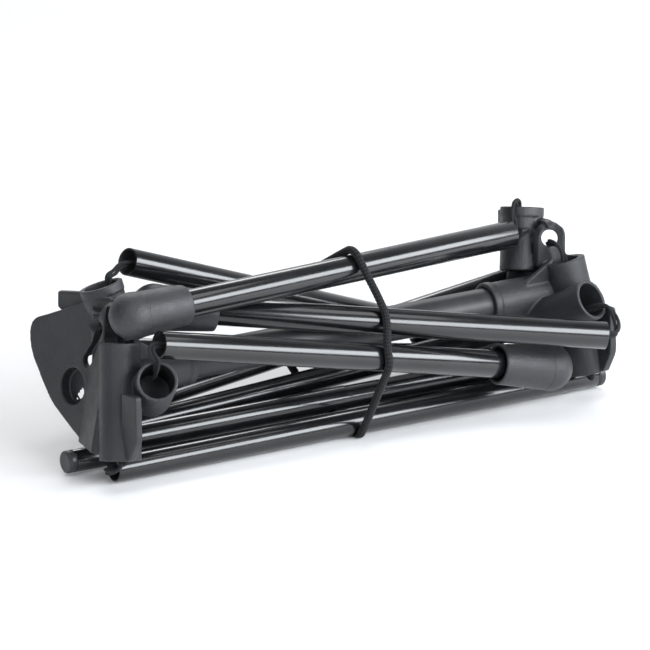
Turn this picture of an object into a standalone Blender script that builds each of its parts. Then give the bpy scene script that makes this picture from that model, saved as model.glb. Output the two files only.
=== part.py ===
"""Packed frame of shock-corded poles: two moulded hubs on a cross bar, four legs with ball feet,
two front poles, two rear poles in two sections each, their shock cords and one elastic loop.

Lengths are written in millimetres in the hub frame: its origin is where the cross bar's axis meets
the left hub, X runs from the left hub to the right hub, Y away from the front and Z up. The
function at() turns them into metres in the object's own frame, whose origin is the middle of the
footprint, on the floor.
"""

import math

import bmesh
import bpy
from mathutils import Matrix, Vector

MM = 0.001

# Driving dimensions, in millimetres.
HUB_SPACING = 290.0
FLOOR_Z = -62.231
CENTRE_X = 149.672
CENTRE_Y = 4.565

SOCKET_R = 12.1
SOCKET_BORE_R = 9.9
SOCKET_BORE_DEPTH = 20.0
FRONT_BORE_DEPTH = 27.0
REAR_SOCKET_R = 11.5
REAR_SOCKET_BORE_R = 8.4
BAR_SOCKET_R = 12.6
BAR_R = 10.2
BAR_BORE_R = 10.5
BAR_HIDDEN = 24.0
PLATE_T = 4.4

LEG_R = 8.0
LEG_BORE_R = 7.0
LEG_LENGTH = 268.6
BALL_R = 13.7
CAP_BACK = 36.0
CAP_MOUTH_R = 11.6
CAP_RECESS_R = 9.7
CAP_BORE_R = 8.3
LEG_IN_CAP = 20.0

POLE_WALL = 0.9
PLUG_LENGTH = 5.0
CORD_R = 1.5
LOOP_R = 2.0

# Socket axes of the left hub, each from its base to its mouth. The right hub is the mirror image.
AXIS_A = ((10.0, 17.0, 11.0), (2.9, 26.3, 45.7))
AXIS_B = ((13.5, -10.3, -12.7), (-1.1, -41.7, 7.4))
AXIS_C = ((-4.4, -7.0, 21.7), (-13.4, -21.5, -43.4))
# Ends of the lug's slanted hole.
LUG_HOLE = ((6.1, -8.2, 36.8), (-16.3, 27.9, 23.4))
AXIS_D = ((0.0, 10.0, -8.0), (-2.0, 38.0, -26.0))

# Outer face of the fan plate: a point on it and its outward normal.
FAN_POINT = (-4.4, -7.0, 21.7)
FAN_NORMAL = (-0.97, -0.12, 0.18)

# The poles at rest, each from its open end to its far end.
LEG_ENDS = {
    "upper_right_leg": ((266.9, 6.9, 37.7), (-2.3, -17.1, 39.7)),
    "upper_left_leg": ((25.7, 34.3, 53.7), (274.7, 67.2, -41.6)),
    "front_right_leg": ((286.1, -64.1, -7.5), (32.8, 17.1, 29.8)),
    "front_left_leg": ((4.0, -35.4, 26.3), (265.1, -37.1, -30.3)),
}
POLE_ENDS = {
    "front_left_pole": ((-8.2, -5.6, -54.0), (324.6, 0.8, -54.0)),
    "front_right_pole": ((309.0, 20.0, -54.5), (-24.0, 21.9, -54.5)),
    "rear_left_upper_pole": ((297.0, 11.4, -43.4), (9.0, 11.4, -43.4)),
    "rear_right_upper_pole": ((8.0, 31.8, -44.7), (277.0, 31.8, -29.9)),
    "rear_right_lower_pole": ((292.0, 38.0, 0.2), (14.0, 44.8, -38.6)),
    "rear_left_lower_pole": ((24.0, 64.0, -6.6), (311.0, 43.0, -53.8)),
}
POLE_R = {
    "front_left_pole": 7.1,
    "front_right_pole": 6.6,
    "rear_left_upper_pole": 7.1,
    "rear_right_upper_pole": 6.6,
    "rear_right_lower_pole": 6.7,
    "rear_left_lower_pole": 7.1,
}
# How far outside its open end each pole turns, along its own axis.
PIVOT_OUT = 4.0

PARTS = "Packed pole frame"
CUTTERS = "Packed pole frame cutters"


def clear_scene():
    for item in list(bpy.data.objects):
        bpy.data.objects.remove(item, do_unlink=True)
    for name in (PARTS, CUTTERS):
        old = bpy.data.collections.get(name)
        if old:
            bpy.data.collections.remove(old)
    parts = bpy.data.collections.new(PARTS)
    cutters = bpy.data.collections.new(CUTTERS)
    cutters.hide_render = True
    bpy.context.scene.collection.children.link(parts)
    bpy.context.scene.collection.children.link(cutters)
    return parts, cutters


parts, cutters = clear_scene()


def at(point):
    x, y, z = point
    return Vector((x - CENTRE_X, y - CENTRE_Y, z - FLOOR_Z)) * MM


def mirrored(point):
    return (HUB_SPACING - point[0], point[1], point[2])


def material(name, colour, roughness, metallic=0.0, coat=0.0):
    made = bpy.data.materials.new(name)
    made.use_nodes = True
    shader = made.node_tree.nodes["Principled BSDF"]
    shader.inputs["Base Color"].default_value = (*colour, 1.0)
    shader.inputs["Roughness"].default_value = roughness
    shader.inputs["Metallic"].default_value = metallic
    shader.inputs["Coat Weight"].default_value = coat
    made.diffuse_color = (*colour, 1.0)
    return made


HUB_PLASTIC = material("Hub plastic", (0.045, 0.046, 0.050), 0.55)
BAR_PAINT = material("Cross bar paint", (0.035, 0.036, 0.040), 0.45)
TUBE_PAINT = material("Gloss black tube", (0.012, 0.012, 0.014), 0.18, coat=0.6)
FOOT_RUBBER = material("Foot rubber", (0.040, 0.041, 0.044), 0.62)
PLUG_PLASTIC = material("Plug plastic", (0.050, 0.051, 0.055), 0.40)
FERRULE_METAL = material("Ferrule metal", (0.55, 0.56, 0.58), 0.32, metallic=1.0)
CORD_FABRIC = material("Cord fabric", (0.018, 0.018, 0.020), 0.85)


def link_mesh(name, mesh, collection, look=None):
    made = bpy.data.objects.new(name, mesh)
    collection.objects.link(made)
    if look:
        mesh.materials.clear()
        mesh.materials.append(look)
    return made


def smooth(made, angle=35.0):
    made.data.shade_smooth()
    made.data.set_sharp_from_angle(angle=math.radians(angle))


def frame_between(start, end):
    """Matrix whose origin is at start and whose +Z points at end."""
    along = (end - start).normalized()
    turn = along.to_track_quat("Z", "Y").to_matrix().to_4x4()
    return Matrix.Translation(start) @ turn


def rod(name, start, end, radius, collection, radius_end=None, segments=32):
    """Solid cylinder or cone between two points."""
    a, b = at(start), at(end)
    length = (b - a).length
    form = bmesh.new()
    bmesh.ops.create_cone(
        form,
        cap_ends=True,
        segments=segments,
        radius1=radius * MM,
        radius2=(radius if radius_end is None else radius_end) * MM,
        depth=length,
    )
    bmesh.ops.translate(form, verts=form.verts, vec=(0.0, 0.0, length / 2))
    bmesh.ops.transform(form, matrix=frame_between(a, b), verts=form.verts)
    mesh = bpy.data.meshes.new(name)
    form.to_mesh(mesh)
    form.free()
    return link_mesh(name, mesh, collection)


def along(start, end, distance):
    """Point at this distance from start towards end, in millimetres."""
    a, b = Vector(start), Vector(end)
    return tuple(a + (b - a).normalized() * distance)


def evaluated_mesh(made, weld=0.0):
    bpy.context.view_layer.update()
    graph = bpy.context.evaluated_depsgraph_get()
    mesh = bpy.data.meshes.new_from_object(made.evaluated_get(graph))
    if weld:
        form = bmesh.new()
        form.from_mesh(mesh)
        bmesh.ops.remove_doubles(form, verts=form.verts, dist=weld)
        form.to_mesh(mesh)
        form.free()
    return mesh


def slab(name, outline, origin, across, up, thickness, collection, rounding=0.0):
    """Flat plate: outline in millimetres on the axes across and up, centred on its plane."""
    curve = bpy.data.curves.new(name + " outline", "CURVE")
    curve.dimensions = "2D"
    curve.fill_mode = "BOTH"
    curve.extrude = thickness / 2 * MM
    spline = curve.splines.new("POLY")
    spline.points.add(len(outline) - 1)
    for point, (u, w) in zip(spline.points, outline):
        point.co = (u * MM, w * MM, 0.0, 1.0)
    spline.use_cyclic_u = True
    holder = bpy.data.objects.new(name + " outline", curve)
    collection.objects.link(holder)
    x_axis = Vector(across).normalized()
    y_axis = Vector(up)
    y_axis = (y_axis - x_axis * y_axis.dot(x_axis)).normalized()
    z_axis = x_axis.cross(y_axis)
    turn = Matrix((x_axis, y_axis, z_axis)).transposed().to_4x4()
    holder.matrix_world = Matrix.Translation(at(origin)) @ turn
    mesh = evaluated_mesh(holder, weld=1e-6)
    made = link_mesh(name, mesh, collection)
    made.matrix_world = holder.matrix_world
    bpy.data.objects.remove(holder, do_unlink=True)
    if rounding:
        bevel = made.modifiers.new("Rounded edges", "BEVEL")
        bevel.width = rounding * MM
        bevel.segments = 1
        bevel.limit_method = "ANGLE"
        bevel.angle_limit = math.radians(50)
    return made


def rounded_outline(corners, radii, steps=6):
    """Closed outline with a circular arc of the given radius at each corner."""
    points = []
    count = len(corners)
    for index in range(count):
        before = Vector(corners[index - 1])
        here = Vector(corners[index])
        after = Vector(corners[(index + 1) % count])
        radius = radii[index]
        if radius <= 0:
            points.append(tuple(here))
            continue
        d1 = (before - here).normalized()
        d2 = (after - here).normalized()
        half = d1.angle(d2) / 2
        reach = radius / math.tan(half)
        centre = here + (d1 + d2).normalized() * (radius / math.sin(half))
        a1 = here + d1 * reach - centre
        a2 = here + d2 * reach - centre
        start = math.atan2(a1.y, a1.x)
        sweep = math.atan2(a2.y, a2.x) - start
        sweep = (sweep + math.pi) % (2 * math.pi) - math.pi
        for step in range(steps + 1):
            angle = start + sweep * step / steps
            points.append((centre.x + radius * math.cos(angle), centre.y + radius * math.sin(angle)))
    return points


def combine(base, others, operation):
    for other in others:
        boolean = base.modifiers.new(operation.title(), "BOOLEAN")
        boolean.object = other
        boolean.operation = operation
        boolean.solver = "EXACT"


# ---------------------------------------------------------------- left hub

FAN_N = Vector(FAN_NORMAL).normalized()
FAN_Y = (Vector((0.0, 1.0, 0.0)) - FAN_N * FAN_N.y).normalized()
FAN_Z = FAN_N.cross(FAN_Y) * -1.0
if FAN_Z.z < 0:
    FAN_Z = -FAN_Z
FAN_MIDDLE = tuple(Vector(FAN_POINT) - FAN_N * (PLATE_T / 2))


def on_fan(y, z, depth=0.0):
    """Point of the fan plate's outer face above this Y and Z, moved inward by depth."""
    px, py, pz = FAN_POINT
    x = px - (FAN_N.y * (y - py) + FAN_N.z * (z - pz)) / FAN_N.x
    return tuple(Vector((x, y, z)) - FAN_N * depth)


def fan_uv(y, z):
    offset = Vector(on_fan(y, z)) - Vector(FAN_POINT)
    return (offset.dot(FAN_Y), offset.dot(FAN_Z))


def build_hub():
    solids = []
    base = rod("Hub core", (-4.0, 0.0, 0.0), (44.9, 0.0, 0.0), BAR_SOCKET_R, cutters, segments=36)
    solids.append(rod("Ring", (40.4, 0.0, 0.0), (44.6, 0.0, 0.0), BAR_SOCKET_R + 0.7, cutters, segments=36))
    solids.append(rod("Socket A", *AXIS_A, SOCKET_R, cutters))
    solids.append(rod("Socket B", *AXIS_B, SOCKET_R, cutters, segments=36))
    solids.append(rod("Socket C", *AXIS_C, SOCKET_R, cutters))
    solids.append(rod("Socket D", *AXIS_D, REAR_SOCKET_R, cutters))
    mouth_a = along(*AXIS_A, 31.3)
    solids.append(rod("Collar A", mouth_a, AXIS_A[1], SOCKET_R + 0.6, cutters))

    corners = [(-0.4, 44.5), (20.0, 40.6), (60.0, 22.0), (74.0, 16.0), (70.5, 0.0), (45.0, -25.0),
               (10.0, -42.0), (-24.0, -45.0), (-30.0, -26.0), (-22.0, 0.0), (-14.0, 23.0)]
    radii = [6.0, 30.0, 40.0, 9.0, 30.0, 60.0, 50.0, 4.0, 0.0, 0.0, 4.0]
    outline = rounded_outline([fan_uv(y, z) for y, z in corners], radii, steps=4)
    solids.append(slab("Fan plate", outline, FAN_MIDDLE, FAN_Y, FAN_Z, PLATE_T, cutters, rounding=0.9))

    web = [(-2.0, -28.0), (-2.0, 3.0), (2.0, 2.6), (12.0, -2.2), (34.5, -6.6), (34.5, -16.0), (6.0, -28.0)]
    solids.append(slab("Rear web", web, (2.9, 26.3, 41.2), (-6.5, 32.7, 0.0), (0, 0, 1), 4.0, cutters, 0.6))

    lug = rounded_outline([(-9.5, -16.0), (-9.5, 9.5), (9.5, 9.5), (9.5, -16.0)], [0.0, 9.3, 9.3, 0.0], 8)
    solids.append(slab("Lug", lug, (-1.2, 3.6, 32.4), (1, 0, 0), (0, 0, 1), 5.6, cutters, 0.6))

    flange = rounded_outline(
        [(-28.0, -1.0), (-43.5, 0.5), (-44.6, -26.0), (-36.5, -39.5), (-28.0, -41.0)],
        [0.0, 2.0, 14.0, 3.0, 0.0],
        4,
    )
    solids.append(slab("Front flange", flange, (-14.6, 0.0, 0.0), (0, 1, 0), (0, 0, 1), 4.2, cutters, 0.6))

    # Swelling of the plate round socket C, so that the two flow into each other.
    swell = [(31.6, -2.0), (31.0, 0.0), (6.66, 10.0), (0.0, 6.0), (0.0, -2.0)]
    middle_c = along(*AXIS_C, 33.6)
    solids.append(slab("Swelling", swell, middle_c, FAN_Y, FAN_N, 64.0, cutters))

    # Ribs: from the bar socket up to socket A, and from the bar socket to the back of socket C.
    rib_a = [(6.0, 4.0), (8.0, 39.0), (12.6, 39.0), (17.0, 13.0), (17.0, 4.0)]
    solids.append(slab("Rib A", rib_a, (0.0, 21.6, 0.0), (1, 0, 0), (0, -0.25, 1), 3.2, cutters, 0.4))
    rib_c = [(-8.0, 0.0), (-6.0, 24.0), (2.0, 24.5), (21.5, 12.0), (23.0, 0.0)]
    solids.append(slab("Rib C", rib_c, (0.0, -6.0, 0.0), (1, 0, 0), (0, 0, 1), 3.2, cutters, 0.4))
    # Block that carries the lug between socket A and socket C.
    solids.append(rod("Block", (0.0, 14.0, 2.0), (-1.6, 14.0, 36.0), 9.6, cutters, radius_end=7.4, segments=28))

    pocket = Vector(on_fan(28.0, -12.0))
    solids.append(rod("Pocket boss", tuple(pocket), tuple(pocket - FAN_N * 9.0), 12.6, cutters, segments=36))

    cuts = []
    cuts.append(rod("Bar bore", (44.9 - BAR_HIDDEN - 1.0, 0, 0), (60.0, 0, 0), BAR_BORE_R, cutters, segments=36))
    for (start, end), bore_depth in ((AXIS_A, SOCKET_BORE_DEPTH), (AXIS_B, FRONT_BORE_DEPTH)):
        deep = along(end, start, bore_depth)
        out = along(end, start, -20.0)
        cuts.append(rod("Bore", deep, out, SOCKET_BORE_R, cutters))
    deep = along(AXIS_C[1], AXIS_C[0], 22.0)
    out = along(AXIS_C[1], AXIS_C[0], -20.0)
    cuts.append(rod("Bore C", deep, out, 8.6, cutters))
    top = along(AXIS_C[0], AXIS_C[1], 9.0)
    over = along(AXIS_C[0], AXIS_C[1], -20.0)
    cuts.append(rod("Back bore C", top, over, 8.0, cutters))
    cuts.append(rod("Cord bore C", along(*AXIS_C, 2.0), along(*AXIS_C, 60.0), 3.6, cutters, segments=20))
    deep = along(AXIS_D[1], AXIS_D[0], 15.0)
    out = along(AXIS_D[1], AXIS_D[0], -20.0)
    cuts.append(rod("Bore D", deep, out, REAR_SOCKET_BORE_R, cutters))
    # Round pocket in the fan plate, sunk into the boss behind it.
    cuts.append(rod("Fan pocket", tuple(pocket + FAN_N * 12), tuple(pocket - FAN_N * 6.5), 10.5, cutters))
    # Slot in the fan plate.
    a = Vector(fan_uv(5.0, 30.0))
    b = Vector(fan_uv(21.0, 2.0))
    side = Vector((-(b - a).y, (b - a).x)).normalized() * 3.7
    slot = rounded_outline([tuple(a + side), tuple(a - side), tuple(b - side), tuple(b + side)], [3.4] * 4, 5)
    slot_middle = tuple(Vector(FAN_POINT) + FAN_N * 8.5)
    cuts.append(slab("Slot", slot, slot_middle, FAN_Y, FAN_Z, 26.0, cutters))
    # Hole of the lug, which the front pole's shock cord goes through.
    cuts.append(rod("Lug hole", LUG_HOLE[0], LUG_HOLE[1], 4.8, cutters, segments=28))

    combine(base, solids, "UNION")
    combine(cuts[0], cuts[1:], "UNION")
    combine(base, cuts[:1], "DIFFERENCE")
    mesh = evaluated_mesh(base)
    for piece in [base, *solids, *cuts]:
        piece.hide_render = True
        piece.display_type = "WIRE"
    return mesh


hub_mesh = build_hub()
left_hub = link_mesh("left_hub", hub_mesh, parts, HUB_PLASTIC)
smooth(left_hub)

right_mesh = hub_mesh.copy()
form = bmesh.new()
form.from_mesh(right_mesh)
plane_x = (HUB_SPACING / 2 - CENTRE_X) * MM
for vert in form.verts:
    vert.co.x = 2 * plane_x - vert.co.x
bmesh.ops.reverse_faces(form, faces=form.faces)
form.to_mesh(right_mesh)
form.free()
right_hub = link_mesh("right_hub", right_mesh, parts, HUB_PLASTIC)
smooth(right_hub)


# ---------------------------------------------------------------- turned pieces


def turned(name, profile, start, end, look, segments=32, closed=False, pivot=None):
    """Piece turned from a profile of (radius, height) in millimetres, with height measured from
    start towards end. Its origin goes to pivot, on its joint's axis."""
    a, b = at(start), at(end)
    form = bmesh.new()
    verts = [form.verts.new((radius * MM, 0.0, height * MM)) for radius, height in profile]
    for first, second in zip(verts, verts[1:]):
        form.edges.new((first, second))
    if closed:
        form.edges.new((verts[-1], verts[0]))
    mesh = bpy.data.meshes.new(name)
    form.to_mesh(mesh)
    form.free()
    made = link_mesh(name, mesh, parts, look)
    screw = made.modifiers.new("Turned", "SCREW")
    screw.axis = "Z"
    screw.angle = math.radians(360)
    screw.steps = segments
    screw.render_steps = segments
    screw.use_merge_vertices = True
    screw.merge_threshold = 0.00001
    solid = evaluated_mesh(made)
    made.modifiers.clear()
    made.data = solid
    solid.materials.clear()
    solid.materials.append(look)
    place = frame_between(a, b)
    origin = place if pivot is None else Matrix.Translation(at(pivot)) @ place.to_3x3().to_4x4()
    solid.transform(origin.inverted() @ place)
    made.matrix_world = origin
    smooth(made)
    return made


def tube_profile(radius, bore, length, step_at=None, step_radius=None):
    """Closed profile of an open tube: down the outer side, then up the bore."""
    outer = [(radius, length), (radius, 0.0)]
    if step_at is not None:
        outer = [(step_radius, length), (step_radius, step_at + 1.5), (radius, step_at), (radius, 0.0)]
        outer = [(radius, length), (radius, step_at), (step_radius, step_at - 1.5), (step_radius, 0.0)]
    return [*outer, (bore, 0.0), (bore, length)]


cross_bar = turned(
    "cross_bar",
    [(0.0, HUB_SPACING - 2 * (44.9 - BAR_HIDDEN)), (BAR_R, HUB_SPACING - 2 * (44.9 - BAR_HIDDEN)),
     (BAR_R, 0.0), (0.0, 0.0)],
    (44.9 - BAR_HIDDEN, 0.0, 0.0),
    (HUB_SPACING, 0.0, 0.0),
    BAR_PAINT,
    segments=40,
)


def cap_profile():
    """Foot cap, height 0 at the ball's centre and the mouth at CAP_BACK."""
    inner = [(0.0, CAP_BACK - 22.0), (CAP_BORE_R, CAP_BACK - 22.0), (CAP_BORE_R, CAP_BACK - 6.0)]
    rim = [(CAP_RECESS_R, CAP_BACK - 5.0), (CAP_RECESS_R, CAP_BACK), (CAP_MOUTH_R - 0.9, CAP_BACK)]
    side = [(CAP_MOUTH_R, CAP_BACK - 0.9), (BALL_R - 0.6, 8.0), (BALL_R - 0.15, 3.4)]
    ball = []
    for step in range(1, 9):
        angle = math.radians(90 * step / 8)
        ball.append((BALL_R * math.cos(angle), -BALL_R * math.sin(angle)))
    ball[-1] = (0.0, -BALL_R)
    return [*inner, *rim, *side, (BALL_R, 0.0), *ball]


for name, (open_end, ball) in LEG_ENDS.items():
    pivot = along(open_end, ball, -PIVOT_OUT)
    length = (Vector(ball) - Vector(open_end)).length
    tube_length = length - CAP_BACK + LEG_IN_CAP
    turned(name + "_tube", tube_profile(LEG_R, LEG_BORE_R, tube_length), open_end, ball, TUBE_PAINT,
           segments=28, closed=True, pivot=pivot)
    turned(name + "_foot", cap_profile(), ball, open_end, FOOT_RUBBER, segments=28, pivot=pivot)

PLUGGED = ("front_left_pole", "front_right_pole", "rear_left_upper_pole", "rear_right_upper_pole")
for name, (open_end, far_end) in POLE_ENDS.items():
    radius = POLE_R[name]
    bore = radius - POLE_WALL
    pivot = along(open_end, far_end, -PIVOT_OUT)
    if name == "rear_right_upper_pole":
        pivot = along(*POLE_ENDS["rear_right_lower_pole"], -PIVOT_OUT)
    length = (Vector(far_end) - Vector(open_end)).length
    if name in PLUGGED:
        tube_length = length - PLUG_LENGTH
        if name == "rear_left_upper_pole":
            bore -= 0.4
        turned(name + "_plug",
               [(0.0, PLUG_LENGTH), (radius - 0.8, PLUG_LENGTH), (radius, PLUG_LENGTH - 0.8), (radius, 0.25),
                (bore - 0.3, 0.25), (bore - 0.3, -12.0), (0.0, -12.0)],
               along(open_end, far_end, tube_length), far_end, PLUG_PLASTIC, segments=24, pivot=pivot)
    else:
        tube_length = length - 14.0
        turned(name + "_ferrule",
               [(bore - 0.3, 14.0), (bore - 0.3, -16.0), (bore - 1.3, -16.0), (bore - 1.3, 14.0)],
               along(open_end, far_end, tube_length), far_end, FERRULE_METAL, segments=24, closed=True, pivot=pivot)
    profile = tube_profile(radius, bore, tube_length)
    if name == "rear_left_upper_pole":
        profile = tube_profile(radius, bore, tube_length, step_at=139.6, step_radius=6.7)
    turned(name + "_tube", profile, open_end, far_end, TUBE_PAINT, segments=24, closed=True, pivot=pivot)


# ---------------------------------------------------------------- cords


def bezier_points(knots, steps=6):
    """Catmull-Rom points through the knots, in millimetres."""
    knots = [Vector(knot) for knot in knots]
    ends = [knots[0] * 2 - knots[1], *knots, knots[-1] * 2 - knots[-2]]
    points = []
    for index in range(1, len(ends) - 2):
        p0, p1, p2, p3 = ends[index - 1:index + 3]
        for step in range(steps):
            t = step / steps
            points.append(0.5 * ((2 * p1) + (p2 - p0) * t + (2 * p0 - 5 * p1 + 4 * p2 - p3) * t * t
                                 + (3 * p1 - p0 - 3 * p2 + p3) * t ** 3))
    points.append(knots[-1])
    return points


def cord(name, knots, radius=CORD_R, cyclic=False, steps=3):
    points = bezier_points(knots, steps)
    if cyclic:
        points = closed_points(knots, steps)
    curve = bpy.data.curves.new(name, "CURVE")
    curve.dimensions = "3D"
    curve.bevel_depth = radius * MM
    curve.bevel_resolution = 1
    curve.use_fill_caps = not cyclic
    spline = curve.splines.new("POLY")
    spline.points.add(len(points) - 1)
    for point, here in zip(spline.points, points):
        point.co = (*at(here), 1.0)
    spline.use_cyclic_u = cyclic
    curve.materials.append(CORD_FABRIC)
    made = bpy.data.objects.new(name, curve)
    parts.objects.link(made)
    return made


def closed_points(knots, steps):
    knots = [Vector(knot) for knot in knots]
    count = len(knots)
    points = []
    for index in range(count):
        p0, p1, p2, p3 = (knots[(index + shift) % count] for shift in (-1, 0, 1, 2))
        for step in range(steps):
            t = step / steps
            points.append(0.5 * ((2 * p1) + (p2 - p0) * t + (2 * p0 - 5 * p1 + 4 * p2 - p3) * t * t
                                 + (3 * p1 - p0 - 3 * p2 + p3) * t ** 3))
    return points


def inside(name, ends, distance, aside=(0.0, 0.0, 0.0)):
    return tuple(Vector(along(*ends[name], distance)) + Vector(aside))


def socket_point(axis, depth, right=False, aside=(0.0, 0.0, 0.0)):
    point = tuple(Vector(along(axis[1], axis[0], depth)) + Vector(aside))
    return mirrored(point) if right else point


def leg_cord(name, axis, right, aside, between):
    """The cord lies against the side of its socket that it leaves by."""
    deep, shallow = along(axis[1], axis[0], 15.0), along(axis[1], axis[0], 5.0)
    if right:
        deep, shallow = mirrored(deep), mirrored(shallow)
    knots = [tuple(Vector(deep) + Vector(aside) * 5.6), tuple(Vector(shallow) + Vector(aside) * 6.2), *between,
             inside(name, LEG_ENDS, 6.0), inside(name, LEG_ENDS, 16.0)]
    cord(name + "_cord", knots)


leg_cord("upper_right_leg", AXIS_A, True, (-0.776, -0.55, 0.31),
         [(281.6, 22.4, 50.4), (277.4, 19.4, 52.0), (273.4, 15.0, 47.8), (270.6, 9.6, 40.2)])
leg_cord("upper_left_leg", AXIS_A, False, (0.94, 0.32, 0.115),
         [(9.8, 28.8, 48.6), (14.8, 30.4, 50.4), (20.6, 32.4, 53.0)])
leg_cord("front_right_leg", AXIS_B, True, (0.75, -0.087, -0.656),
         [(298.9, -45.0, 3.0), (301.0, -50.2, -1.6), (298.0, -58.4, -6.2), (292.4, -63.6, -8.0)])
leg_cord("front_left_leg", AXIS_B, False, (0.205, 0.46, 0.864),
         [(-0.3, -40.0, 18.8), (-2.2, -38.0, 23.0), (-0.4, -36.0, 26.6)])

LUG_LOOP = [(-6.6, 12.6, 26.6), (-4.4, 9.0, 27.6), (-1.4, 3.4, 29.6), (-1.6, -2.2, 30.2), (-3.7, -6.2, 26.4)]
THROUGH_C = [socket_point(AXIS_C, 60.0), socket_point(AXIS_C, 34.0), socket_point(AXIS_C, 6.0)]
cord("front_left_pole_cord",
     [*LUG_LOOP, *THROUGH_C, socket_point(AXIS_C, -3.4), (-14.6, -15.0, -51.6),
      inside("front_left_pole", POLE_ENDS, -5.0), inside("front_left_pole", POLE_ENDS, 4.0),
      inside("front_left_pole", POLE_ENDS, 14.0)])
# On the right the pole lies behind the other front pole, so its cord goes over that one.
cord("front_right_pole_cord",
     [*(mirrored(knot) for knot in (*LUG_LOOP, *THROUGH_C)), mirrored(socket_point(AXIS_C, -3.0)),
      (307.6, -14.0, -48.6), (310.4, -5.0, -46.2), (311.6, 1.4, -44.4), (314.6, 9.6, -46.0), (317.0, 17.2, -51.6),
      inside("front_right_pole", POLE_ENDS, -3.0), inside("front_right_pole", POLE_ENDS, 6.0),
      inside("front_right_pole", POLE_ENDS, 14.0)])

cord("rear_left_lower_pole_cord",
     [socket_point(AXIS_D, 13.0), socket_point(AXIS_D, 4.0), (-3.2, 46.0, -29.4), (1.6, 57.4, -22.4),
      (12.0, 63.6, -8.4), inside("rear_left_lower_pole", POLE_ENDS, 6.0), inside("rear_left_lower_pole", POLE_ENDS, 15.0)])
cord("rear_right_lower_pole_cord",
     [socket_point(AXIS_D, 13.0, True), socket_point(AXIS_D, 4.0, True), (293.0, 46.4, -29.6), (296.0, 50.6, -19.0),
      (297.0, 46.6, -6.0), (296.8, 40.2, 0.4), inside("rear_right_lower_pole", POLE_ENDS, 6.0), inside("rear_right_lower_pole", POLE_ENDS, 15.0)])

far = POLE_ENDS["rear_left_lower_pole"][1]
cord("rear_left_link_cord",
     [inside("rear_left_lower_pole", POLE_ENDS, 279.0), far, (318.4, 38.6, -54.6), (317.4, 27.0, -50.0),
      (309.0, 14.6, -44.2), inside("rear_left_upper_pole", POLE_ENDS, 0.0), inside("rear_left_upper_pole", POLE_ENDS, 8.0)])
far = POLE_ENDS["rear_right_lower_pole"][1]
cord("rear_right_link_cord",
     [inside("rear_right_lower_pole", POLE_ENDS, 270.0), far, (6.6, 44.4, -41.4), (1.6, 38.4, -45.4),
      (3.4, 33.0, -45.6), inside("rear_right_upper_pole", POLE_ENDS, 3.0), inside("rear_right_upper_pole", POLE_ENDS, 12.0)])

def centre_at(ends, x):
    """Where this pole crosses the plane of constant X, as (y, z)."""
    a, b = Vector(ends[0]), Vector(ends[1])
    here = a.lerp(b, (x - a.x) / (b.x - a.x))
    return Vector((here.y, here.z))


# The elastic loop touches these poles in turn, going down the front, along the floor and up the back.
LOOP_ROUND = (
    ("upper_right_leg", 153.0),
    ("front_right_leg", 158.5),
    ("front_left_leg", 150.6),
    ("front_left_pole", 155.0),
    ("front_right_pole", 153.0),
    ("rear_left_lower_pole", 150.0),
    ("upper_left_leg", 150.0),
)
LOOP_GAP = 0.9
LOOP_FLAT_R = 0.5


def loop_room(angle):
    """Distance from a pole's surface to the loop's axis, and the loop's radius, in this direction.
    The loop is pressed flat where it runs between the poles and the floor."""
    off = abs(math.degrees(math.remainder(angle + math.pi / 2, 2 * math.pi)))
    share = min(max((off - 18.0) / 42.0, 0.0), 1.0)
    radius = LOOP_FLAT_R + (LOOP_R - LOOP_FLAT_R) * share
    gap = 0.15 + (LOOP_GAP - 0.15) * share
    return radius + gap, radius


def loop_points():
    """Points (x, y, z, radius) of a band pulled tight round the poles."""
    rounds = []
    for name, x in LOOP_ROUND:
        ends = LEG_ENDS.get(name) or POLE_ENDS[name]
        rounds.append((centre_at(ends, x), LEG_R if name in LEG_ENDS else POLE_R[name], x))
    count = len(rounds)
    leave = []
    for index in range(count):
        c1, r1, _ = rounds[index]
        c2, r2, _ = rounds[(index + 1) % count]
        way = c2 - c1
        heading = math.atan2(way.y, way.x)
        # Outer side of a path that goes round with the poles on its left.
        angle = heading - math.pi / 2
        for _ in range(6):
            o1, _ = loop_room(angle)
            o2, _ = loop_room(angle)
            angle = heading - math.acos(((r1 + o1) - (r2 + o2)) / way.length)
        leave.append(angle)
    points = []
    for index in range(count):
        centre, radius, x = rounds[index]
        first, last = leave[index - 1], leave[index]
        sweep = math.remainder(last - first, 2 * math.pi)
        steps = max(1, round(abs(math.degrees(sweep)) / 20.0))
        for step in range(steps + 1):
            angle = first + sweep * step / steps
            room, thick = loop_room(angle)
            reach = radius + room
            points.append((x, centre.x + reach * math.cos(angle), centre.y + reach * math.sin(angle), thick))
    return points


def loop_between(points, spacing=9.0):
    """The same path with points added on its long straight runs."""
    full = []
    for here, after in zip(points, points[1:] + points[:1]):
        full.append(here)
        gap = math.dist(here[:3], after[:3])
        extra = int(gap / spacing)
        for step in range(1, extra + 1):
            t = step / (extra + 1)
            full.append(tuple(a + (b - a) * t for a, b in zip(here, after)))
    return full


loop_path = loop_between(loop_points())
loop = cord("elastic_loop", [point[:3] for point in loop_path], radius=LOOP_R, cyclic=True, steps=1)
for point, (_, _, _, thick) in zip(loop.data.splines[0].points, loop_path):
    point.radius = thick / LOOP_R

for used in list(cutters.objects):
    used.hide_render = True
    used.display_type = "WIRE"
cutters.hide_viewport = False
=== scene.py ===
"""Packed pole frame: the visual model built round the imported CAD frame."""

import math

import bpy
from mathutils import Matrix, Vector


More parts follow.
